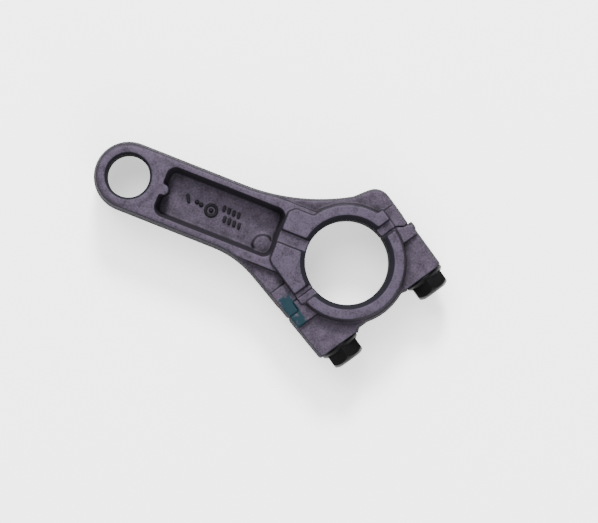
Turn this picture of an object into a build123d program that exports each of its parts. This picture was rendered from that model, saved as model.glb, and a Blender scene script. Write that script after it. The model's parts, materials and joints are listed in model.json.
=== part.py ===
from build123d import *
import os
from math import radians, tan

# Connecting rod of a small four-stroke engine: a die-cast rod, its bolted cap and two flange bolts.
# The origin is the middle of the crankpin bore. +X runs to the gudgeon-pin eye, and +Z along both bores.
# Rod and cap are cast and bored in one, then parted along a stepped split. Both faces are the same.

# bores
centre_distance = 70.5
crankpin_bore = 25.4
crankpin_chamfer = 1.5
pin_bore = 13.0
pin_chamfer = 0.7
crankpin_radius = crankpin_bore / 2

# heights above the mid plane: the thrust face is highest, and the rest lies below it
thrust_height = 10.5
eye_height = thrust_height - 1.1
beam_height = thrust_height - 1.5
block_height = thrust_height - 2.3
leg_height = thrust_height - 3.5
ear_height = thrust_height - 3.9
web_height = 2.2

# casting
draft = 5.0
edge_radius = 0.8
face_bevel = 0.25

# bolts, which pass close beside the crankpin bore
bolt_diameter = 6.0
bolt_hole_gap = 0.2
bolt_wall = 0.4
thread_gap = 0.05
thread_engagement = 6.5
thread_spare = 1.5
thread_end_wall = 3.3
head_across_flats = bolt_diameter + 4.0
head_sides = 6
head_height = 5.8
head_bevel = 1.0
flange_diameter = head_across_flats + 2.4
flange_rim = 0.8
flange_slope = 0.9
tip_bevel = 0.8
bolt_offset = crankpin_radius + bolt_wall + bolt_hole_gap + bolt_diameter / 2
head_radius = head_across_flats / 2
flange_radius = flange_diameter / 2

# cap, with depths from the middle of the crankpin bore
crown_depth = crankpin_radius + 6.05
valley_depth = crankpin_radius + 5.25
valley_run = 1.2
valley_radius = 0.9
seat_depth_long = crankpin_radius + 5.8
seat_depth_short = crankpin_radius + 4.3
seat_cut = 0.6
seat_clear = 2.4
seat_side_room = 0.3
cap_side = bolt_offset + flange_radius + 0.1
cap_lug = 0.6
cap_lug_length = 2.3
cap_corner_radius = 1.6
block_top = 6.0
ear_step_long = 7.2
ear_step_short = 5.4
bolt_length = seat_depth_long + thread_engagement

# eye, beam and its pockets
eye_radius = pin_bore / 2 + 4.0
eye_face_radius = eye_radius - 1.6
leg_root = crankpin_radius + 18.8
leg_root_radius = 30.0
sweep_root = crankpin_radius + 24.8
sweep_radius = 62.9
sweep_foot = 6.44
pocket_start = crankpin_radius + 9.4
pocket_end = centre_distance - eye_radius
pocket_half_width = eye_radius - 2.7
pocket_corner = 3.0
pocket_draft = 10.0
pocket_floor_radius = 1.2
ejector_radius = 1.65
ejector_pad_radius = 2.6
ejector_pad_rise = 1.3
ejector_pad_flare = 1.0
ejector_pad_inset = 3.4

# big end of the rod, across the split and along the bolts, positive towards the eye
bolt_angle = 32.4
leg_side = bolt_offset + flange_radius + 2.0
leg_side_lean = 3.3
shoulder_side = bolt_offset + flange_radius - 0.5
shoulder_top = bolt_length + thread_spare + thread_end_wall - seat_depth_short
shoulder_radius = 5.0
thrust_radius = crankpin_radius + 4.55
thrust_cheek = bolt_offset + 2.2
thrust_cheek_top = thrust_radius - 5.25
thrust_shoulder = bolt_offset + 1.6
thrust_shoulder_top = 6.6
thrust_front = crankpin_radius + 9.2
thrust_front_corner = 1.6
thrust_front_half_width = eye_radius - 1.2
oil_slot_width = 3.9
collar_step = 0.4

# flats across the split, where the thrust faces stop
flat_above_long = 1.5
flat_below_long = 2.3
flat_above_short = 2.9
flat_below_short = 0.6

# stepped split, with unequal lips so that the cap goes on one way round
lip_depth_long = 3.2
lip_inner_long = bolt_offset + bolt_diameter / 2 + 1.0
lip_depth_short = 1.35
lip_inner_short = bolt_offset + 1.9
lip_slant = 2.0
lip_side_gap = 0.05
lip_end_gap = 0.1

os.makedirs("parts", exist_ok=True)
split = Plane.XY.rotated((0, 0, -90 - bolt_angle))
reach = 3 * bolt_offset  # further out than any part of the big end


def at_split(across, along):
    return split.from_local_coords(Vector(across, along, 0))


def leg_edge_at(along):
    # the outer side of the long leg leans in towards the cap
    return -leg_side - along * tan(radians(leg_side_lean))


def bolt_plane(across, depth):
    # on the seat of a bolt, with z up the bolt and x across the split
    return Plane(origin=at_split(across, -depth), x_dir=split.x_dir, z_dir=split.y_dir)


# outline of rod and cap at the mid plane
foot_long = seat_depth_long + seat_cut
foot_short = seat_depth_short + seat_cut
root_corner = (leg_root, eye_radius)
long_corner = at_split(leg_edge_at(-foot_long), -foot_long)
short_corner = at_split(cap_side, -foot_short)
shoulder_corner = at_split(shoulder_side, shoulder_top)
lug_end = -lip_depth_short - cap_lug_length
sweep_start = shoulder_corner.X + sweep_foot
sweep_rise = sweep_radius - (sweep_radius**2 - (sweep_root - sweep_start) ** 2) ** 0.5
seat_inner = bolt_offset - flange_radius - seat_side_room
crown_start = (crown_depth**2 - valley_depth**2) ** 0.5
crown_end = (crown_depth**2 - seat_depth_short**2) ** 0.5
valley_corner = at_split(valley_run - seat_inner, -valley_depth)

with BuildSketch() as outline:
    with BuildLine():
        eye_end = ThreePointArc(
            (centre_distance, -eye_radius),
            (centre_distance + eye_radius, 0),
            (centre_distance, eye_radius),
        )
        long_leg = Polyline(
            eye_end @ 1,
            root_corner,
            long_corner,
            at_split(-seat_inner, -foot_long),
            valley_corner,
            at_split(-crown_start, -valley_depth),
        )
        crown = ThreePointArc(
            long_leg @ 1,
            at_split(0, -crown_depth),
            at_split(crown_end, -seat_depth_short),
        )
        short_leg = Polyline(
            crown @ 1,
            at_split(seat_inner, -foot_short),
            short_corner,
            at_split(cap_side, lug_end - cap_lug),
            at_split(cap_side + cap_lug, lug_end),
            at_split(cap_side + cap_lug, -lip_depth_short),
            at_split(shoulder_side, -lip_depth_short),
            shoulder_corner,
            (sweep_start, -eye_radius - sweep_rise),
        )
        sweep = RadiusArc(short_leg @ 1, (sweep_root, -eye_radius), sweep_radius)
        Line(sweep @ 1, eye_end @ 0)
    make_face()
    for corner, radius in (
        (root_corner, leg_root_radius),
        (shoulder_corner, shoulder_radius),
        (long_corner, cap_corner_radius),
        (short_corner, cap_corner_radius),
        (valley_corner, valley_radius),
    ):
        fillet(outline.vertices().sort_by_distance(corner)[0], radius)

# the machined thrust face: collar of the bore, cheek, shoulder and the front towards the beam
with BuildSketch() as collar_plan:
    Circle(thrust_radius)
with BuildSketch(split) as cheek_plan:
    with Locations((-thrust_cheek, -flat_below_long)):
        Rectangle(thrust_cheek, thrust_cheek_top + flat_below_long, align=Align.MIN)
    with Locations((thrust_shoulder, 0)):
        Rectangle(thrust_shoulder, thrust_shoulder_top, align=(Align.MAX, Align.MIN))
with BuildSketch() as front_plan:
    Rectangle(thrust_front, 2 * thrust_front_half_width, align=(Align.MIN, Align.CENTER))
    chamfer(front_plan.vertices().group_by(Axis.X)[-1], thrust_front_corner)
with BuildSketch(split) as flats_plan:
    with Locations((0, -flat_below_long)):
        Rectangle(reach, flat_above_long + flat_below_long, align=(Align.MAX, Align.MIN))
    with Locations((0, -flat_below_short)):
        Rectangle(reach, flat_above_short + flat_below_short, align=(Align.MIN, Align.MIN))
with BuildSketch() as thrust_plan:
    add(collar_plan.sketch)
    add(cheek_plan.sketch)
    add(front_plan.sketch)
    add(flats_plan.sketch, mode=Mode.SUBTRACT)
    Rectangle(reach, oil_slot_width, align=(Align.MIN, Align.CENTER), mode=Mode.SUBTRACT)

# what lies beside the beam and the collar is lower: the legs, then the blocks and ears at the split
with BuildSketch() as low_plan:
    Rectangle(2 * sweep_root, 2 * reach)
    Rectangle(2 * sweep_root, 2 * eye_radius, align=(Align.MIN, Align.CENTER), mode=Mode.SUBTRACT)
    Circle(thrust_radius + collar_step, mode=Mode.SUBTRACT)
    add(cheek_plan.sketch, mode=Mode.SUBTRACT)
with BuildSketch(split) as block_plan:
    with Locations((0, block_top)):
        Rectangle(reach, block_top + ear_step_long, align=Align.MAX)
        Rectangle(reach, block_top + ear_step_short, align=(Align.MIN, Align.MAX))
with BuildSketch(split) as ear_plan:
    with Locations((0, -ear_step_long)):
        Rectangle(reach, reach, align=Align.MAX)
    with Locations((0, -ear_step_short)):
        Rectangle(reach, reach, align=(Align.MIN, Align.MAX))

with BuildPart() as casting:
    # upper half: the plan at beam height, stepped down beside the beam and the collar
    extrude(outline.sketch, amount=beam_height, taper=draft)
    fillet(casting.edges().group_by(Axis.Z)[-1], edge_radius)
    with BuildSketch(Plane.XY.offset(leg_height)):
        add(low_plan.sketch)
        add(block_plan.sketch, mode=Mode.SUBTRACT)
    extrude(amount=thrust_height, mode=Mode.SUBTRACT)
    for height, step_plan in ((block_height, block_plan), (ear_height, ear_plan)):
        with BuildSketch(Plane.XY.offset(height)):
            add(low_plan.sketch)
            add(step_plan.sketch, mode=Mode.INTERSECT)
        extrude(amount=thrust_height, mode=Mode.SUBTRACT)
    # eye face and thrust face stand proud
    with BuildSketch(Plane.XY.offset(leg_height)):
        with Locations((centre_distance, 0)):
            Circle(eye_face_radius)
    extrude(amount=eye_height - leg_height)
    with BuildSketch(Plane.XY.offset(leg_height)):
        add(thrust_plan.sketch)
    extrude(amount=thrust_height - leg_height)
    chamfer(casting.edges().group_by(Axis.Z)[-1], face_bevel)
    # pocket of the I-section, with the marks of two ejector pins
    with BuildSketch(Plane.XY.offset(beam_height)):
        with Locations(((pocket_start + pocket_end) / 2, 0)):
            RectangleRounded(pocket_end - pocket_start, 2 * pocket_half_width, pocket_corner)
    extrude(amount=web_height - beam_height, taper=pocket_draft, mode=Mode.SUBTRACT)
    fillet(casting.faces().filter_by(Axis.Z).group_by(Axis.Z)[1].edges(), pocket_floor_radius)
    with BuildSketch():
        with Locations((pocket_end - ejector_radius / 2, 0)):
            Circle(ejector_radius)
    extrude(amount=beam_height)
    pad_middle = web_height + ejector_pad_rise / 2
    with Locations((pocket_start + ejector_pad_inset, pocket_half_width - ejector_pad_inset, pad_middle)):
        Cone(ejector_pad_radius + ejector_pad_flare, ejector_pad_radius, ejector_pad_rise)
    # the lower half, and the bores with their chamfers
    mirror(about=Plane.XY)
    for centre, bore, bevel, height in (
        (0, crankpin_bore, crankpin_chamfer, thrust_height),
        (centre_distance, pin_bore, pin_chamfer, eye_height),
    ):
        with Locations((centre, 0)):
            Cylinder(bore / 2, 2 * height, mode=Mode.SUBTRACT)
        with Locations((centre, 0, height - bevel / 2), Location((centre, 0, bevel / 2 - height), (180, 0, 0))):
            Cone(bore / 2, bore / 2 + bevel, bevel, mode=Mode.SUBTRACT)
    # bolt seats, milled flat and square to the bolts
    for across, depth in ((-bolt_offset, seat_depth_long), (bolt_offset, seat_depth_short)):
        with BuildSketch(bolt_plane(across, depth)):
            Rectangle(2 * flange_radius + 2 * seat_side_room, 2 * thrust_height)
        extrude(amount=-seat_clear, mode=Mode.SUBTRACT)


def cap_side_of_split(side_gap, end_gap):
    # everything below the stepped split, less the room left beside and under the lips of the rod
    with BuildSketch(split) as below:
        with BuildLine():
            Polyline(
                (-reach, -lip_depth_long - end_gap),
                (-lip_inner_long + side_gap, -lip_depth_long - end_gap),
                (-lip_inner_long + side_gap, 0),
                (lip_inner_short - end_gap, 0),
                (lip_inner_short + lip_slant - end_gap, -lip_depth_short - end_gap),
                (reach, -lip_depth_short - end_gap),
                (reach, -reach),
                (-reach, -reach),
                close=True,
            )
        make_face()
    return below.sketch


# rod: eye, beam and the upper half of the big end, with the two tapped holes
with BuildPart() as rod_body:
    add(casting.part)
    extrude(cap_side_of_split(0, 0), amount=thrust_height, both=True, mode=Mode.SUBTRACT)
    for across, depth in ((-bolt_offset, seat_depth_long), (bolt_offset, seat_depth_short)):
        with BuildSketch(bolt_plane(across, depth)):
            Circle(bolt_diameter / 2 + thread_gap)
        extrude(amount=bolt_length + thread_spare, mode=Mode.SUBTRACT)
rod_body.part.label = "rod_body"
export_step(rod_body.part, "parts/rod_body.step")

# cap: the lower half of the big end, between the lips of the rod
with BuildPart() as rod_cap:
    add(casting.part)
    extrude(
        cap_side_of_split(lip_side_gap, lip_end_gap),
        amount=thrust_height,
        both=True,
        mode=Mode.INTERSECT,
    )
    for across, depth in ((-bolt_offset, seat_depth_long), (bolt_offset, seat_depth_short)):
        with BuildSketch(bolt_plane(across, depth)):
            Circle(bolt_diameter / 2 + bolt_hole_gap)
        extrude(amount=bolt_length, mode=Mode.SUBTRACT)
rod_cap.part.label = "rod_cap"
export_step(rod_cap.part, "parts/rod_cap.step")

# flange bolts: hexagon with a turned bevel, sloped flange, plain shank of the thread's diameter
for bolt_name, across, depth in (
    ("bolt_long_leg", -bolt_offset, seat_depth_long),
    ("bolt_short_leg", bolt_offset, seat_depth_short),
):
    seat = bolt_plane(across, depth)
    with BuildPart() as bolt:
        with BuildSketch(seat):
            RegularPolygon(head_radius, head_sides, major_radius=False, rotation=180 / head_sides)
        extrude(amount=-head_height)
        with BuildSketch(Plane(seat.origin, x_dir=seat.x_dir, z_dir=-seat.y_dir)) as turned:
            with BuildLine():
                Polyline(
                    (0, 0),
                    (flange_radius, 0),
                    (flange_radius, head_bevel - head_height),
                    (head_radius, -head_height),
                    (0, -head_height),
                    close=True,
                )
            make_face()
        revolve(axis=Axis(seat.origin, seat.z_dir), mode=Mode.INTERSECT)
        with BuildSketch(Plane(seat.origin, x_dir=seat.x_dir, z_dir=-seat.y_dir)) as stem:
            with BuildLine():
                Polyline(
                    (0, bolt_length),
                    (bolt_diameter / 2 - tip_bevel, bolt_length),
                    (bolt_diameter / 2, bolt_length - tip_bevel),
                    (bolt_diameter / 2, 0),
                    (flange_radius, 0),
                    (flange_radius, -flange_rim),
                    (head_radius, -flange_rim - flange_slope),
                    (0, -flange_rim - flange_slope),
                    close=True,
                )
            make_face()
        revolve(axis=Axis(seat.origin, seat.z_dir))
    bolt.part.label = bolt_name
    export_step(bolt.part, f"parts/{bolt_name}.step")
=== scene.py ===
import json
import math

import bpy
from mathutils import Matrix, Vector


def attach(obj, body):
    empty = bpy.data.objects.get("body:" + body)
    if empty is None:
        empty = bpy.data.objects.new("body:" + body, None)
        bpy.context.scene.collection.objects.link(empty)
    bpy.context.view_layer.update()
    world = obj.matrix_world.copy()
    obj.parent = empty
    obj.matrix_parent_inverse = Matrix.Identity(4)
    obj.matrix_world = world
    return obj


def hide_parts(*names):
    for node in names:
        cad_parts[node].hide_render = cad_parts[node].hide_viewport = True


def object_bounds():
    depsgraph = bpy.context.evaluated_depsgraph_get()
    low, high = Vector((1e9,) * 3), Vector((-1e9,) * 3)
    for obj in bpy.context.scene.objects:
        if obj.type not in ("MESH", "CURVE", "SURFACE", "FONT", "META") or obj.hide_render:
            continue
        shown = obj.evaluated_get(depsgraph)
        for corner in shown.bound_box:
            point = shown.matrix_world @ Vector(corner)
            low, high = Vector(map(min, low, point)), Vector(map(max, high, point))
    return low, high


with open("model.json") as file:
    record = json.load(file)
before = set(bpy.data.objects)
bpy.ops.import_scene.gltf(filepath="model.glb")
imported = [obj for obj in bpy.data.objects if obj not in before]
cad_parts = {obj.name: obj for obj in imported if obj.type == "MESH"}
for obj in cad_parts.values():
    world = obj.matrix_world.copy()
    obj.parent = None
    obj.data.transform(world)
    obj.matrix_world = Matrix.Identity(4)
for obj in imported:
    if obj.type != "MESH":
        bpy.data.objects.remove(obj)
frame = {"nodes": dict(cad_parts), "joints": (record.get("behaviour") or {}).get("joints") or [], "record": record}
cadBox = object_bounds()
mm = 0.001  # the scene is in metres

# the split of the big end, from the joint that draws the cap off
joints = {joint["name"]: joint for joint in frame["joints"]}
alongBolts = -Vector(joints["cap_draw_off"]["axis"]).normalized()  # from the cap to the rod
acrossSplit = alongBolts.cross(Vector((0, 0, 1)))
splitTurn = math.atan2(acrossSplit.y, acrossSplit.x)
mounts = {mount["name"]: mount for mount in frame["record"]["mounts"]}
eyeX = mounts["pin_bore"]["pos_m"][0]
crankRadius = mounts["crankpin_bore"]["dims"]["r_mm"] * mm
pinRadius = mounts["pin_bore"]["dims"]["r_mm"] * mm
thrustZ = cadBox[1][2]


def atSplit(across, along, height=0.0):
    # a place given across the split, along the bolts and up
    return acrossSplit * across + alongBolts * along + Vector((0, 0, height))


def toLinear(hexColour):
    # sRGB hex to the linear colour that shaders take
    parts = [int(hexColour[i:i + 2], 16) / 255 for i in (1, 3, 5)]
    linear = [p / 12.92 if p <= 0.04045 else ((p + 0.055) / 1.055) ** 2.4 for p in parts]
    return (*linear, 1.0)


def addNode(tree, kind, settings=None, links=None):
    # one node with its settings, then its incoming links
    node = tree.nodes.new(kind)
    for name, value in (settings or {}).items():
        if isinstance(name, int) or name in node.inputs:
            node.inputs[name].default_value = value
        else:
            setattr(node, name, value)
    for name, source in (links or {}).items():
        tree.links.new(source, node.inputs[name])
    return node


def newMaterial(name):
    material = bpy.data.materials.new(name)
    material.use_nodes = True
    material.node_tree.nodes.clear()
    return material, material.node_tree


def selectOnly(*pieces):
    bpy.ops.object.select_all(action="DESELECT")
    for piece in pieces:
        piece.select_set(True)
    bpy.context.view_layer.objects.active = pieces[0]


def applyModifier(piece, kind, **settings):
    selectOnly(piece)
    modifier = piece.modifiers.new(kind.title(), kind)
    for name, value in settings.items():
        setattr(modifier, name, value)
    bpy.ops.object.modifier_apply(modifier=modifier.name)


def editAll(piece):
    selectOnly(piece)
    bpy.ops.object.mode_set(mode="EDIT")
    bpy.ops.mesh.select_all(action="SELECT")


def selectBy(piece, part, test):
    # in edit mode, selects the vertices or the polygons that pass the test
    bpy.ops.mesh.select_mode(type={"vertices": "VERT", "polygons": "FACE"}[part])
    bpy.ops.mesh.select_all(action="DESELECT")
    bpy.ops.object.mode_set(mode="OBJECT")
    for element in getattr(piece.data, part):
        element.select = bool(test(element))
    bpy.ops.object.mode_set(mode="EDIT")


def placeMesh(piece, matrix):
    # the object stays at the origin and the place goes into its mesh
    selectOnly(piece)
    bpy.ops.object.transform_apply(location=True, rotation=True, scale=True)
    piece.data.transform(matrix)
    piece.data.update()


def fromAxes(xAxis, yAxis, zAxis, origin):
    return Matrix((
        (xAxis.x, yAxis.x, zAxis.x, origin.x),
        (xAxis.y, yAxis.y, zAxis.y, origin.y),
        (xAxis.z, yAxis.z, zAxis.z, origin.z),
        (0, 0, 0, 1),
    ))


def drawLine(name, points):
    # a wire through points of (radius, height) in mm, drawn from one vertex by extrusion
    bpy.ops.object.select_all(action="DESELECT")
    bpy.ops.mesh.primitive_plane_add(size=mm)
    piece = bpy.context.active_object
    piece.name = name
    editAll(piece)
    bpy.ops.mesh.select_mode(type="VERT")
    bpy.ops.mesh.merge(type="CENTER")
    bpy.ops.transform.translate(value=(points[0][0] * mm, 0, points[0][1] * mm))
    for before, after in zip(points, points[1:]):
        step = ((after[0] - before[0]) * mm, 0, (after[1] - before[1]) * mm)
        bpy.ops.mesh.extrude_region_move(TRANSFORM_OT_translate={"value": step})
    bpy.ops.object.mode_set(mode="OBJECT")
    return piece


def lathe(name, points, steps=72):
    # a turned solid: the wire spun about Z
    piece = drawLine(name, points)
    editAll(piece)
    bpy.ops.mesh.spin(steps=steps, angle=math.tau, center=(0, 0, 0), axis=(0, 0, 1))
    bpy.ops.mesh.select_all(action="SELECT")
    bpy.ops.mesh.remove_doubles(threshold=0.001 * mm)
    bpy.ops.mesh.normals_make_consistent(inside=False)
    bpy.ops.object.mode_set(mode="OBJECT")
    return piece


def cutTo(piece, keeper):
    # keeps only what lies inside the keeper, which is then removed
    applyModifier(piece, "BOOLEAN", operation="INTERSECT", solver="EXACT", object=keeper)
    bpy.data.objects.remove(keeper)


# plain raised marks on the floor of the upper pocket: pips, a ring and rows of short bars, in mm
pocketMarks = {
    "floor": 2.2,
    "rise": 0.42,
    # x, y, size along, size across, turn in radians
    "bars": ((51.4, -0.4, 0.8, 2.6, 0.5), (40.2, -1.5, 0.75, 1.7, 0.1), (38.6, -1.4, 0.75, 1.7, 0.1),
             (37.0, -1.3, 0.75, 1.7, 0.1), (35.4, -1.2, 0.75, 1.7, 0.1), (39.0, 1.4, 0.75, 1.9, 0.1),
             (37.4, 1.5, 0.75, 1.9, 0.1), (35.8, 1.6, 0.75, 1.9, 0.1), (34.2, 1.7, 0.75, 1.9, 0.1)),
    "pips": ((48.6, -0.4), (47.1, -0.1), (43.7, 0.4)),
    "pipRadius": 0.65,
    "ring": (43.7, 0.4, 1.7),
    "wire": 0.42,
    "barBevel": 0.16,
    "middle": 43.0,  # the ground round the marks is stained, out to these reaches from here
    "reachAlong": 10.5,
    "reachAcross": 4.2,
    "reachFade": 0.5,
    "stainFoot": (0.05, 0.2),  # heights over the floor where the stain starts and ends
    "stainTop": (0.9, 0.7),
    "stainAmount": 0.9,
}

castingLook = {
    "light": "#453d4a",
    "dark": "#231e26",
    "skinRange": (0.92, 1.6),  # noise at which the skin is all dark, and all light
    "grainWeight": 1.5,
    "patchSize": 3.0,  # mottled skin of the die casting, in mm
    "grainSize": 0.55,  # grain of the skin, drawn coarser than the real 0.1 mm so that it shows
    "proud": "#3f3847",  # what stands proud has been faced, so that its tone is more even
    "proudBand": 3.6,  # how far below the thrust faces that starts, in mm
    "proudAmount": 0.7,
    # painted shade: the drafted side walls are darkened by how they face, as if light does not reach them
    "flankShade": "#18151b",
    "flankShadeFacing": (0.95, 0.55),  # upward part of the normal where the painted flank shade starts, and where it is full
    "flankShadeAmount": 0.95,
    # painted shade: near black where the AO node finds corners and creases
    "creviceShade": "#09080b",
    "shadeReach": 3.0,  # how far from a corner the painted shade reaches, in mm
    "shadeOpen": (0.94, 0.5),  # how open a place is where the painted shade starts, and where it is darkest
    # painted shade on the walls of the crankpin and pin bores
    "boreShade": "#15141a",
    "boreBevels": (1.7, 1.0),  # crankpin bore, then pin bore, in mm
    "boreFade": 0.15,
    "boreFacing": (0.93, 0.85),
    "paint": "#041f26",
    "paintAcross": (-23.9, -19.6),  # places across the split, along the bolts and up, in mm
    "paintAlong": (-7.6, 3.2),
    "paintHeights": (4.0, 6.0),
    "paintWander": 1.6,
    "paintRag": 1.8,
    "paintEdge": 0.5,
    "paintWorn": (0.32, 0.42),  # noise at which the paint is worn off, and at which it is whole
    "paintCover": 0.95,
    "red": "#7a2c33",
    "redPlace": (-23.6, -3.4, 7.0),
    "redSize": 0.4,
    "metallic": 0.25,  # oxide and oil cover most of the metal
    "specular": 0.12,
    "roughness": 0.55,
    "bumpStrength": 0.6,
    "bumpDepth": 0.08,
}


def dieCastAluminium(name):
    # die-cast aluminium, dull from heat and oil: mottled purple-grey skin with fine grain, more even where
    # it has been faced, with painted shade: black in the creases, dark on the drafted flanks and on the walls of
    # the bores
    look = castingLook
    material, tree = newMaterial(name)
    place = addNode(tree, "ShaderNodeTexCoord")
    patches = addNode(tree, "ShaderNodeTexNoise", {"Scale": 1 / (look["patchSize"] * mm), "Detail": 4.0,
                      "Roughness": 0.6}, {"Vector": place.outputs["Object"]})
    grain = addNode(tree, "ShaderNodeTexNoise", {"Scale": 1 / (look["grainSize"] * mm), "Detail": 3.0,
                    "Roughness": 0.7}, {"Vector": place.outputs["Object"]})
    tone = addNode(tree, "ShaderNodeMath", {"operation": "MULTIPLY_ADD", 1: look["grainWeight"]},
                   {0: grain.outputs["Fac"], 2: patches.outputs["Fac"]})
    allDark, allLight = look["skinRange"]
    skin = addNode(tree, "ShaderNodeMapRange", {"From Min": allDark, "From Max": allLight},
                   {"Value": tone.outputs[0]})
    colour = addNode(tree, "ShaderNodeMix", {"data_type": "RGBA", 6: toLinear(look["dark"]),
                     7: toLinear(look["light"])}, {0: skin.outputs["Result"]})
    # more even where it stands proud; painted shade darkens the drafted flanks
    axes = addNode(tree, "ShaderNodeSeparateXYZ", {}, {"Vector": place.outputs["Object"]})
    facing = addNode(tree, "ShaderNodeSeparateXYZ", {}, {"Vector": place.outputs["Normal"]})
    upright = addNode(tree, "ShaderNodeMath", {"operation": "ABSOLUTE"}, {0: facing.outputs["Z"]})
    height = addNode(tree, "ShaderNodeMath", {"operation": "ABSOLUTE"}, {0: axes.outputs["Z"]})
    proud = addNode(tree, "ShaderNodeMapRange", {"From Min": thrustZ - look["proudBand"] * mm,
                    "From Max": thrustZ, "To Max": look["proudAmount"]}, {"Value": height.outputs[0]})
    faced = addNode(tree, "ShaderNodeMath", {"operation": "MULTIPLY"},
                    {0: proud.outputs["Result"], 1: skin.outputs["Result"]})
    evened = addNode(tree, "ShaderNodeMix", {"data_type": "RGBA", 7: toLinear(look["proud"])},
                     {0: faced.outputs[0], 6: colour.outputs[2]})
    flankShadeStart, flankShadeEnd = look["flankShadeFacing"]
    flankShade = addNode(tree, "ShaderNodeMapRange", {"From Min": flankShadeStart, "From Max": flankShadeEnd,
                    "To Max": look["flankShadeAmount"], "interpolation_type": "SMOOTHSTEP"},
                    {"Value": upright.outputs[0]})
    flankShaded = addNode(tree, "ShaderNodeMix", {"data_type": "RGBA", 7: toLinear(look["flankShade"])},
                      {0: flankShade.outputs["Result"], 6: evened.outputs[2]})
    # painted shade in corners and creases, from the AO node; the ground round the marks in the pocket holds old
    # oil
    shade = addNode(tree, "ShaderNodeAmbientOcclusion", {"Distance": look["shadeReach"] * mm, "samples": 8})
    creaseShadeStart, creaseShadeEnd = look["shadeOpen"]
    creaseShade = addNode(tree, "ShaderNodeMapRange", {"From Min": creaseShadeStart, "From Max": creaseShadeEnd,
                     "interpolation_type": "SMOOTHSTEP"}, {"Value": shade.outputs["AO"]})
    marks = pocketMarks
    footStart, footEnd = [(marks["floor"] + rise) * mm for rise in marks["stainFoot"]]
    topStart, topEnd = [(marks["floor"] + rise) * mm for rise in marks["stainTop"]]
    marksFoot = addNode(tree, "ShaderNodeMapRange", {"From Min": footStart, "From Max": footEnd},
                        {"Value": height.outputs[0]})
    marksTop = addNode(tree, "ShaderNodeMapRange", {"From Min": topStart, "From Max": topEnd,
                       "To Max": marks["stainAmount"]}, {"Value": height.outputs[0]})
    stained = addNode(tree, "ShaderNodeMath", {"operation": "MULTIPLY"},
                      {0: marksFoot.outputs["Result"], 1: marksTop.outputs["Result"]})
    fromMarks = addNode(tree, "ShaderNodeVectorMath", {"operation": "SUBTRACT",
                        1: (marks["middle"] * mm, 0, 0)}, {0: place.outputs["Object"]})
    spread = addNode(tree, "ShaderNodeVectorMath", {"operation": "ABSOLUTE"}, {0: fromMarks.outputs[0]})
    spreadAxes = addNode(tree, "ShaderNodeSeparateXYZ", {}, {"Vector": spread.outputs[0]})
    for axis, limit in (("X", marks["reachAlong"]), ("Y", marks["reachAcross"])):
        inside = addNode(tree, "ShaderNodeMapRange", {"From Min": (limit + marks["reachFade"]) * mm,
                         "From Max": limit * mm}, {"Value": spreadAxes.outputs[axis]})
        stained = addNode(tree, "ShaderNodeMath", {"operation": "MULTIPLY"},
                          {0: stained.outputs[0], 1: inside.outputs["Result"]})
    shadeAndStain = addNode(tree, "ShaderNodeMath", {"operation": "MAXIMUM"},
                     {0: creaseShade.outputs["Result"], 1: stained.outputs[0]})
    creaseShaded = addNode(tree, "ShaderNodeMix", {"data_type": "RGBA", 7: toLinear(look["creviceShade"])},
                      {0: shadeAndStain.outputs[0], 6: flankShaded.outputs[2]})
    # painted shade on the walls of both bores
    wallStart, wallEnd = look["boreFacing"]
    wall = addNode(tree, "ShaderNodeMapRange", {"From Min": wallStart, "From Max": wallEnd},
                   {"Value": upright.outputs[0]})
    boreShaded = creaseShaded
    crankBevel, pinBevel = [bevel * mm for bevel in look["boreBevels"]]
    for centre, radius, bevel in ((0.0, crankRadius, crankBevel), (eyeX, pinRadius, pinBevel)):
        offset = addNode(tree, "ShaderNodeVectorMath", {"operation": "MULTIPLY_ADD", 1: (1, 1, 0),
                         2: (-centre, 0, 0)}, {0: place.outputs["Object"]})
        reach = addNode(tree, "ShaderNodeVectorMath", {"operation": "LENGTH"}, {0: offset.outputs[0]})
        near = addNode(tree, "ShaderNodeMapRange", {"From Min": radius + bevel + look["boreFade"] * mm,
                       "From Max": radius + bevel}, {"Value": reach.outputs["Value"]})
        mask = addNode(tree, "ShaderNodeMath", {"operation": "MULTIPLY"},
                       {0: near.outputs["Result"], 1: wall.outputs["Result"]})
        boreShaded = addNode(tree, "ShaderNodeMix", {"data_type": "RGBA", 7: toLinear(look["boreShade"])},
                          {0: mask.outputs[0], 6: boreShaded.outputs[2]})
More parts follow.
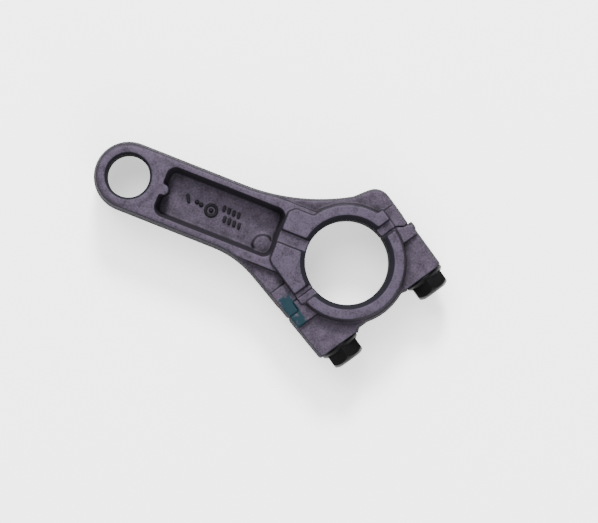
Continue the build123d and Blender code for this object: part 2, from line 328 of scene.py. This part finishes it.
    # match mark in worn teal paint across the split, on the upper face of the long leg and the cap
    turned = addNode(tree, "ShaderNodeMapping", {"Rotation": (0, 0, -splitTurn)},
                     {"Vector": place.outputs["Object"]})
    wander = addNode(tree, "ShaderNodeTexNoise", {"Scale": 1 / (look["paintWander"] * mm), "Detail": 5.0},
                     {"Vector": place.outputs["Object"]})
    ragged = addNode(tree, "ShaderNodeVectorMath", {"operation": "SCALE", "Scale": look["paintRag"] * mm},
                     {0: wander.outputs["Color"]})
    loose = addNode(tree, "ShaderNodeVectorMath", {"operation": "ADD"},
                    {0: turned.outputs["Vector"], 1: ragged.outputs[0]})
    markAxes = addNode(tree, "ShaderNodeSeparateXYZ", {}, {"Vector": loose.outputs[0]})
    wornOff, whole = look["paintWorn"]
    paint = addNode(tree, "ShaderNodeMapRange", {"From Min": wornOff, "From Max": whole,
                    "To Max": look["paintCover"]}, {"Value": wander.outputs["Fac"]})
    shift = look["paintRag"] / 2  # the noise is about a half, so it moves the mark by this much
    for axis, (low, high) in (("X", look["paintAcross"]), ("Y", look["paintAlong"])):
        for edge, inwards in ((low, 1), (high, -1)):
            side = addNode(tree, "ShaderNodeMapRange", {"From Min": (edge + shift) * mm,
                           "From Max": (edge + shift + look["paintEdge"] * inwards) * mm},
                           {"Value": markAxes.outputs[axis]})
            paint = addNode(tree, "ShaderNodeMath", {"operation": "MULTIPLY"},
                            {0: paint.outputs[0], 1: side.outputs["Result"]})
    paintFoot, paintTop = [level * mm for level in look["paintHeights"]]
    top = addNode(tree, "ShaderNodeMapRange", {"From Min": paintFoot, "From Max": paintTop},
                  {"Value": axes.outputs["Z"]})
    paint = addNode(tree, "ShaderNodeMath", {"operation": "MULTIPLY"},
                    {0: paint.outputs[0], 1: top.outputs["Result"]})
    painted = addNode(tree, "ShaderNodeMix", {"data_type": "RGBA", 7: toLinear(look["paint"])},
                      {0: paint.outputs[0], 6: boreShaded.outputs[2]})
    # one drop of red paint beside it
    dropPlace = atSplit(*[value * mm for value in look["redPlace"]])
    away = addNode(tree, "ShaderNodeVectorMath", {"operation": "DISTANCE", 1: dropPlace},
                   {0: place.outputs["Object"]})
    drop = addNode(tree, "ShaderNodeMapRange", {"From Min": look["redSize"] * mm,
                   "From Max": 0.7 * look["redSize"] * mm}, {"Value": away.outputs["Value"]})
    painted = addNode(tree, "ShaderNodeMix", {"data_type": "RGBA", 7: toLinear(look["red"])},
                      {0: drop.outputs["Result"], 6: painted.outputs[2]})
    bump = addNode(tree, "ShaderNodeBump", {"Strength": look["bumpStrength"],
                   "Distance": look["bumpDepth"] * mm}, {"Height": tone.outputs[0]})
    rough = addNode(tree, "ShaderNodeMath", {"operation": "MULTIPLY_ADD", 1: 0.35,
                    2: look["roughness"] - 0.1}, {0: grain.outputs["Fac"]})
    dull = addNode(tree, "ShaderNodeMath", {"operation": "MULTIPLY_ADD", 1: 0.3, "use_clamp": True},
                   {0: flankShade.outputs["Result"], 2: rough.outputs[0]})
    covered = addNode(tree, "ShaderNodeMath", {"operation": "MAXIMUM"},
                      {0: flankShade.outputs["Result"], 1: paint.outputs[0]})
    metal = addNode(tree, "ShaderNodeMapRange", {"To Min": look["metallic"], "To Max": 0.0},
                    {"Value": covered.outputs[0]})
    shader = addNode(tree, "ShaderNodeBsdfPrincipled", {"Specular IOR Level": look["specular"]},
                     {"Base Color": painted.outputs[2], "Roughness": dull.outputs[0],
                      "Metallic": metal.outputs["Result"], "Normal": bump.outputs["Normal"]})
    addNode(tree, "ShaderNodeOutputMaterial", {}, {"Surface": shader.outputs[0]})
    return material


boltLook = {
    "base": "#060607",
    "worn": "#1d1d21",
    "roughness": 0.46,
    "grainSize": 0.4,  # in mm
    "bumpDepth": 0.03,
}


def blackOxideSteel(name):
    # black oxide on steel: nearly black with an oily sheen, and a little bare metal on the edges
    look = boltLook
    material, tree = newMaterial(name)
    place = addNode(tree, "ShaderNodeTexCoord")
    grain = addNode(tree, "ShaderNodeTexNoise", {"Scale": 1 / (look["grainSize"] * mm), "Detail": 4.0},
                    {"Vector": place.outputs["Object"]})
    shape = addNode(tree, "ShaderNodeNewGeometry")
    edge = addNode(tree, "ShaderNodeMapRange", {"From Min": 0.52, "From Max": 0.6, "To Max": 0.6},
                   {"Value": shape.outputs["Pointiness"]})
    wear = addNode(tree, "ShaderNodeMath", {"operation": "MULTIPLY"},
                   {0: edge.outputs["Result"], 1: grain.outputs["Fac"]})
    colour = addNode(tree, "ShaderNodeMix", {"data_type": "RGBA", 6: toLinear(look["base"]),
                     7: toLinear(look["worn"])}, {0: wear.outputs[0]})
    rough = addNode(tree, "ShaderNodeMapRange", {"To Min": look["roughness"] - 0.08,
                    "To Max": look["roughness"] + 0.12}, {"Value": grain.outputs["Fac"]})
    bump = addNode(tree, "ShaderNodeBump", {"Strength": 0.25, "Distance": look["bumpDepth"] * mm},
                   {"Height": grain.outputs["Fac"]})
    shader = addNode(tree, "ShaderNodeBsdfPrincipled", {"Metallic": 0.85},
                     {"Base Color": colour.outputs[2], "Roughness": rough.outputs["Result"],
                      "Normal": bump.outputs["Normal"]})
    addNode(tree, "ShaderNodeOutputMaterial", {}, {"Surface": shader.outputs[0]})
    return material


floorLook = {
    "pale": "#f9f9fa",
    "paler": "#fdfdfd",
    "cloudSize": 0.125,  # in metres
    "glow": 0.8,
}


def paleFloor(name):
    # matt white acrylic light table: even and pale with the faintest mottling, and lit a little from below
    # so that shadows stay faint
    look = floorLook
    material, tree = newMaterial(name)
    place = addNode(tree, "ShaderNodeTexCoord")
    cloud = addNode(tree, "ShaderNodeTexNoise", {"Scale": 1 / look["cloudSize"], "Detail": 2.0},
                    {"Vector": place.outputs["Object"]})
    colour = addNode(tree, "ShaderNodeMix", {"data_type": "RGBA", 6: toLinear(look["pale"]),
                     7: toLinear(look["paler"])}, {0: cloud.outputs["Fac"]})
    shader = addNode(tree, "ShaderNodeBsdfPrincipled", {"Roughness": 0.9, "Emission Strength": look["glow"],
                     "Emission Color": toLinear("#ffffff")}, {"Base Color": colour.outputs[2]})
    addNode(tree, "ShaderNodeOutputMaterial", {}, {"Surface": shader.outputs[0]})
    return material


castingShape = {
    "voxel": 0.3,  # lengths are in mm
    "smoothing": 9,
    "triangles": 180000,
    "partingRise": 0.12,
    "partingHalf": 0.2,
    "partingFacing": 0.4,
    "boreRoom": 2.5,
    "splitReach": 30.0,  # the flash stops short of the split, within this band across the big end
    "splitMiddle": -1.5,
    "splitHalf": 2.8,
    "splitRise": 0.12,
    "splitDepth": 6.0,
}


def softCasting(node, name, body, marks=(), splitRise=0.0):
    # the CAD solid with its edges melted round as a casting's are, and the thin flash of the parting line
    shape = castingShape
    piece = frame["nodes"][node].copy()
    piece.data = piece.data.copy()
    piece.name = name
    piece.data.name = name
    for key in list(piece.keys()):
        del piece[key]
    bpy.context.scene.collection.objects.link(piece)
    piece.parent = None
    editAll(piece)
    bpy.ops.mesh.remove_doubles(threshold=0.001 * mm)
    bpy.ops.object.mode_set(mode="OBJECT")
    applyModifier(piece, "REMESH", mode="VOXEL", voxel_size=shape["voxel"] * mm, adaptivity=0.0)
    applyModifier(piece, "SMOOTH", factor=0.5, iterations=shape["smoothing"])

    def onParting(vertex):
        point = vertex.co
        flat = Vector((point.x, point.y))
        inCrank = flat.length < crankRadius + shape["boreRoom"] * mm
        inPin = (flat - Vector((eyeX, 0))).length < pinRadius + shape["boreRoom"] * mm
        along = Vector(point).dot(alongBolts) / mm
        inBand = abs(along - shape["splitMiddle"]) < shape["splitHalf"]
        onSplit = flat.length < shape["splitReach"] * mm and inBand
        outward = abs(vertex.normal.z) < shape["partingFacing"]
        return abs(point.z) < shape["partingHalf"] * mm and outward and not (inCrank or inPin or onSplit)

    def onSplitFace(vertex):
        facing = Vector(vertex.normal).dot(alongBolts)
        return facing > 0.9 and Vector(vertex.co).dot(alongBolts) > -shape["splitDepth"] * mm

    if splitRise:  # the cap's split faces meet the rod's, with no light between
        editAll(piece)
        selectBy(piece, "vertices", onSplitFace)
        bpy.ops.transform.shrink_fatten(value=splitRise * mm)
        bpy.ops.object.mode_set(mode="OBJECT")
    editAll(piece)
    selectBy(piece, "vertices", onParting)
    bpy.ops.transform.shrink_fatten(value=shape["partingRise"] * mm)
    bpy.ops.object.mode_set(mode="OBJECT")
    count = sum(len(face.vertices) - 2 for face in piece.data.polygons)
    if count > shape["triangles"]:
        applyModifier(piece, "DECIMATE", ratio=shape["triangles"] / count)
    if marks:
        selectOnly(piece, *marks)
        bpy.ops.object.join()
    selectOnly(piece)
    bpy.ops.object.shade_smooth()
    piece.data.materials.clear()
    piece.data.materials.append(dieCastAluminium(name + "DieCastAluminium"))
    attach(piece, body)
    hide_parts(node)
    print(name, "made,", count, "triangles before thinning")


def makePocketMarks():
    shape = pocketMarks
    floorZ = shape["floor"] * mm
    marks = []
    for x, y, along, across, turn in shape["bars"]:
        bpy.ops.mesh.primitive_cube_add(size=1.0, location=(x * mm, y * mm, floorZ), rotation=(0, 0, turn),
                                        scale=(along * mm, across * mm, 2 * shape["rise"] * mm))
        marks.append(bpy.context.active_object)
    for x, y in shape["pips"]:
        bpy.ops.mesh.primitive_uv_sphere_add(segments=24, ring_count=12, radius=shape["pipRadius"] * mm,
                                             location=(x * mm, y * mm, floorZ))
        marks.append(bpy.context.active_object)
    x, y, radius = shape["ring"]
    bpy.ops.mesh.primitive_torus_add(location=(x * mm, y * mm, floorZ), major_radius=radius * mm,
                                     minor_radius=shape["wire"] * mm, major_segments=48, minor_segments=12)
    marks.append(bpy.context.active_object)
    for number, mark in enumerate(marks):
        selectOnly(mark)
        bpy.ops.object.transform_apply(location=True, rotation=True, scale=True)
        if number < len(shape["bars"]):
            applyModifier(mark, "BEVEL", width=shape["barBevel"] * mm, segments=3)
    print("pocket marks made,", len(marks))
    return marks


softCasting("rod_body", "rodCasting", "rod", marks=makePocketMarks())
softCasting("rod_cap", "capCasting", "cap", splitRise=castingShape["splitRise"])

# M6 flange bolts with a 10 mm head, in mm: each profile is (radius, height), with heights from the seat
# and positive towards the top of the head
boltShape = {
    "halfFlats": 5.0,
    "blank": 14.0,  # length of the hexagon before it is turned
    "headTurned": ((0, 0.2), (6.1, 0.2), (6.1, 3.7), (5.6, 4.4), (5.1, 4.95), (4.6, 5.35), (4.0, 5.65),
                   (3.5, 5.78), (3.3, 5.8), (0, 5.8)),
    "dishRim": 0.7,
    "dishDepth": 0.45,
    "dishDraft": 0.86,
    "headEdge": 0.28,
    "edgeAngle": 24,  # in degrees
    "smoothAngle": 35,
    "flange": ((0, 0), (5.95, 0), (6.14, 0.08), (6.2, 0.25), (6.2, 0.55), (6.12, 0.74), (5.9, 0.92),
               (5.2, 1.5), (0, 1.9)),
    "shank": ((0, 0.5), (2.95, 0.5), (2.95, -8.6), (2.5, -9.4), (0, -9.4)),
    "threadWire": ((2.98, 0), (2.98, 0.1), (2.5, 0.44), (2.46, 0.5), (2.5, 0.56), (2.98, 0.9), (2.98, 1.0)),
    "pitch": 1.0,
    "turns": 18,
    "threadTop": -8.8,
    "threadCuts": (-8.75, -25.2),
    "threadTurned": ((0, -8.8), (2.5, -8.8), (3.05, -9.4), (3.05, -24.2), (2.3, -25.0), (0, -25.0)),
}


def makeBolt(node, name, body, across, along, steel):
    shape = boltShape
    # hexagon turned round at its top, with a shallow dish in the middle
    bpy.ops.object.select_all(action="DESELECT")
    bpy.ops.mesh.primitive_cylinder_add(vertices=6, radius=shape["halfFlats"] / math.cos(math.pi / 6) * mm,
                                        depth=shape["blank"] * mm)
    head = bpy.context.active_object
    cutTo(head, lathe("headTurned", shape["headTurned"]))
    top = max(vertex.co.z for vertex in head.data.vertices)
    editAll(head)
    selectBy(head, "polygons", lambda face: face.normal.z > 0.99 and face.center.z > top - 0.01 * mm)
    bpy.ops.mesh.inset(thickness=shape["dishRim"] * mm)
    bpy.ops.mesh.extrude_region_move(TRANSFORM_OT_translate={"value": (0, 0, -shape["dishDepth"] * mm)})
    bpy.ops.transform.resize(value=(shape["dishDraft"], shape["dishDraft"], 1))
    bpy.ops.object.mode_set(mode="OBJECT")
    applyModifier(head, "BEVEL", width=shape["headEdge"] * mm, segments=3, limit_method="ANGLE",
                  angle_limit=math.radians(shape["edgeAngle"]))
    flange = lathe("flange", shape["flange"], 96)
    shank = lathe("shank", shape["shank"], 48)
    # the thread: one pitch of its profile screwed along the shank, then trimmed to a chamfered end
    thread = drawLine("thread", shape["threadWire"])
    applyModifier(thread, "SCREW", angle=math.tau, screw_offset=shape["pitch"] * mm,
                  iterations=shape["turns"], steps=36, render_steps=36, use_merge_vertices=True,
                  merge_threshold=0.001 * mm)
    threadFoot = (shape["threadTop"] - shape["turns"] * shape["pitch"]) * mm
    thread.data.transform(Matrix.Translation((0, 0, threadFoot)))
    editAll(thread)
    bpy.ops.mesh.remove_doubles(threshold=0.002 * mm)
    for height, cutBelow in zip(shape["threadCuts"], (False, True)):
        bpy.ops.mesh.select_all(action="SELECT")
        bpy.ops.mesh.bisect(plane_co=(0, 0, height * mm), plane_no=(0, 0, 1), use_fill=True,
                            clear_inner=cutBelow, clear_outer=not cutBelow)
    bpy.ops.mesh.select_all(action="SELECT")
    bpy.ops.mesh.normals_make_consistent(inside=False)
    bpy.ops.object.mode_set(mode="OBJECT")
    cutTo(thread, lathe("threadTurned", shape["threadTurned"]))
    selectOnly(head, flange, shank, thread)
    bpy.ops.object.join()
    head.name = name
    head.data.name = name
    upBolt = -alongBolts
    placeMesh(head, fromAxes(acrossSplit, upBolt.cross(acrossSplit), upBolt, atSplit(across, along)))
    selectOnly(head)
    bpy.ops.object.shade_smooth_by_angle(angle=math.radians(shape["smoothAngle"]))
    head.data.materials.clear()
    head.data.materials.append(steel)
    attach(head, body)
    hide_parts(node)
    print(name, "made,", len(head.data.polygons), "faces")


steel = blackOxideSteel("blackOxideSteel")
for joint, node, name, body in (
    ("long_bolt_turn", "bolt_long_leg", "longBolt", "long_bolt"),
    ("short_bolt_turn", "bolt_short_leg", "shortBolt", "short_bolt"),
):
    seat = Vector(joints[joint]["pos_m"])
    makeBolt(node, name, body, seat.dot(acrossSplit), seat.dot(alongBolts), steel)


studio = {
    "floorSize": 4.0,
    "floorDrop": 0.05,  # in mm
    "cameraFoot": (18.8, 36.1),  # the camera stands over this place and looks at the next one, in mm
    "lookAt": (13.5, 4.9),
    "distance": 1.45,
    "lens": 290.0,
    "skyColour": "#e6e7ea",
    "skyStrength": 1.5,
    # name: (towards the top of the view, towards its right, height) in metres, size in metres, power in watts
    "lights": {
        "keyLight": ((1.1, 0.0, 0.95), 0.35, 44.0),
        "fillLight": ((-0.9, 0.3, 0.8), 0.9, 10.0),
        "overheadLight": ((0.75, -0.35, 1.35), 0.9, 26.0),
    },
}

bpy.ops.object.select_all(action="DESELECT")
bpy.ops.mesh.primitive_plane_add(size=studio["floorSize"],
                                 location=(0, 0, cadBox[0][2] - studio["floorDrop"] * mm))
floor = bpy.context.active_object
floor.name = "floor"
floor.data.materials.append(paleFloor("paleFloor"))

viewUp = Vector((0.3675, -0.930, 0)).normalized()
viewRight = Vector((-0.930, -0.3675, 0)).normalized()
cameraPlace = Vector((studio["cameraFoot"][0] * mm, studio["cameraFoot"][1] * mm, studio["distance"]))
target = Vector((studio["lookAt"][0] * mm, studio["lookAt"][1] * mm, 0))
back = (cameraPlace - target).normalized()
upward = back.cross(viewRight).normalized()
rightward = upward.cross(back).normalized()
cameraData = bpy.data.cameras.new("camera")
cameraData.lens = studio["lens"]
cameraData.clip_end = 20
camera = bpy.data.objects.new("camera", cameraData)
bpy.context.scene.collection.objects.link(camera)
camera.matrix_world = fromAxes(rightward, upward, back, cameraPlace)
bpy.context.scene.camera = camera

for name, ((towardsTop, towardsRight, height), size, power) in studio["lights"].items():
    data = bpy.data.lights.new(name, "AREA")
    data.shape = "DISK"
    data.size = size
    data.energy = power
    lamp = bpy.data.objects.new(name, data)
    bpy.context.scene.collection.objects.link(lamp)
    lamp.location = viewUp * towardsTop + viewRight * towardsRight + Vector((0, 0, height))
    lamp.rotation_euler = (-lamp.location).to_track_quat("-Z", "Y").to_euler()

world = bpy.data.worlds.new("studio")
bpy.context.scene.world = world
world.use_nodes = True
sky = world.node_tree.nodes["Background"]
sky.inputs["Color"].default_value = toLinear(studio["skyColour"])
sky.inputs["Strength"].default_value = studio["skyStrength"]
print("studio made")
